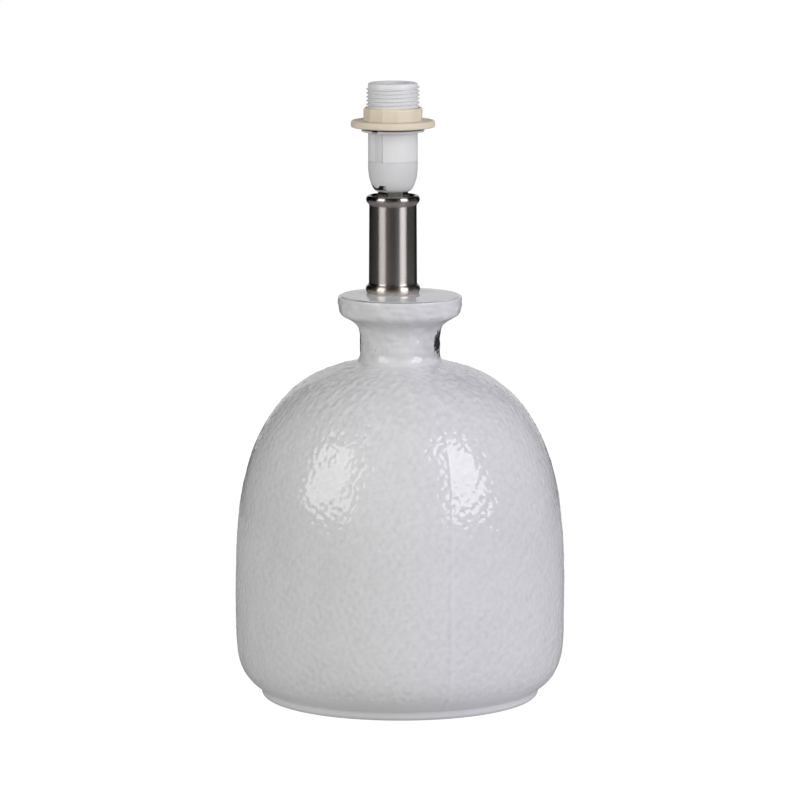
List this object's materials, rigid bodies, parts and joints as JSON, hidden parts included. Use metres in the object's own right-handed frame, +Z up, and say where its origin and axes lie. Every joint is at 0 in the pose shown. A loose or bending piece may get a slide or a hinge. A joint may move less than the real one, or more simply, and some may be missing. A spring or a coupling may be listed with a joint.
{
  "type": "lamp base",
  "caption": "Round-shouldered glazed ceramic table lamp base with a flared neck, a metal stem sleeve and a small threaded lampholder with its shade ring.",
  "frame": {"origin": "centre of the foot ring's resting plane", "axes": "+Z up along the vessel's axis, -Y the front of the lamp, +Y the back with the cord bushing; the stem and lampholder stand 3.7 mm off the vessel's axis towards -X"},
  "size_m": [0.1748, 0.1748, 0.3257],
  "materials": {
    "glaze": "glossy white-grey glaze over a hammered texture",
    "felt": "pressed felt",
    "bushing_plastic": "moulded",
    "zinc_steel": "zinc plated",
    "gasket_rubber": "matt",
    "satin_nickel": "satin nickel, brushed round the tube",
    "holder_plastic": "moulded, fine satin",
    "ring_plastic": "moulded, satin cream",
    "carrier_ceramic": "unglazed white",
    "brass_contact": "stamped",
    "shell_nickel": "nickel-plated stamping"
  },
  "bodies": {
    "root": {"vessel": "glaze", "base_felt": "felt", "cord_bushing": "bushing_plastic", "cord_bushing_nut": "bushing_plastic", "threaded_nipple": "zinc_steel", "neck_gasket": "gasket_rubber", "neck_washer": "zinc_steel", "spring_washer": "zinc_steel", "lower_lock_nut": "zinc_steel", "stem_sleeve": "satin_nickel", "sleeve_bottom_cap": "satin_nickel", "sleeve_top_cap": "satin_nickel", "tooth_washer": "zinc_steel", "upper_hex_nut": "zinc_steel", "holder_dome": "holder_plastic", "dome_lock_screw": "zinc_steel", "holder_skirt": "holder_plastic", "contact_carrier": "carrier_ceramic", "screw_shell": "shell_nickel", "side_contact": "brass_contact", "centre_contact_strip": "brass_contact", "terminal_clamps": "brass_contact", "terminal_screws": "zinc_steel"},
    "ring_flange": {"shade_ring_flange": "ring_plastic"},
    "ring_nut": {"shade_ring_nut": "ring_plastic"},
    "contact_tongue": {"centre_contact": "brass_contact"}
  },
  "joints": [
    {"name": "shade_ring_travel", "type": "slide", "parent": "root", "child": "ring_flange", "axis": [0, 0, 1], "range_m": [0, 0.02401]},
    {"name": "shade_ring_turn", "type": "hinge", "parent": "ring_flange", "child": "ring_nut", "pos_m": [-0.0037, 0, 0.3094], "axis": [0, 0, 1], "range_deg": [0, 4320]},
    {"name": "centre_contact_press", "type": "hinge", "parent": "root", "child": "contact_tongue", "pos_m": [-0.0089, 0, 0.3014], "axis": [0, 1, 0], "range_deg": [0, 14], "stiffness_Nm_per_rad": 0.03}
  ],
  "couplings": [
    {"joint": "shade_ring_travel", "follows": "shade_ring_turn", "m_per_rad": 0.00031831}
  ]
}
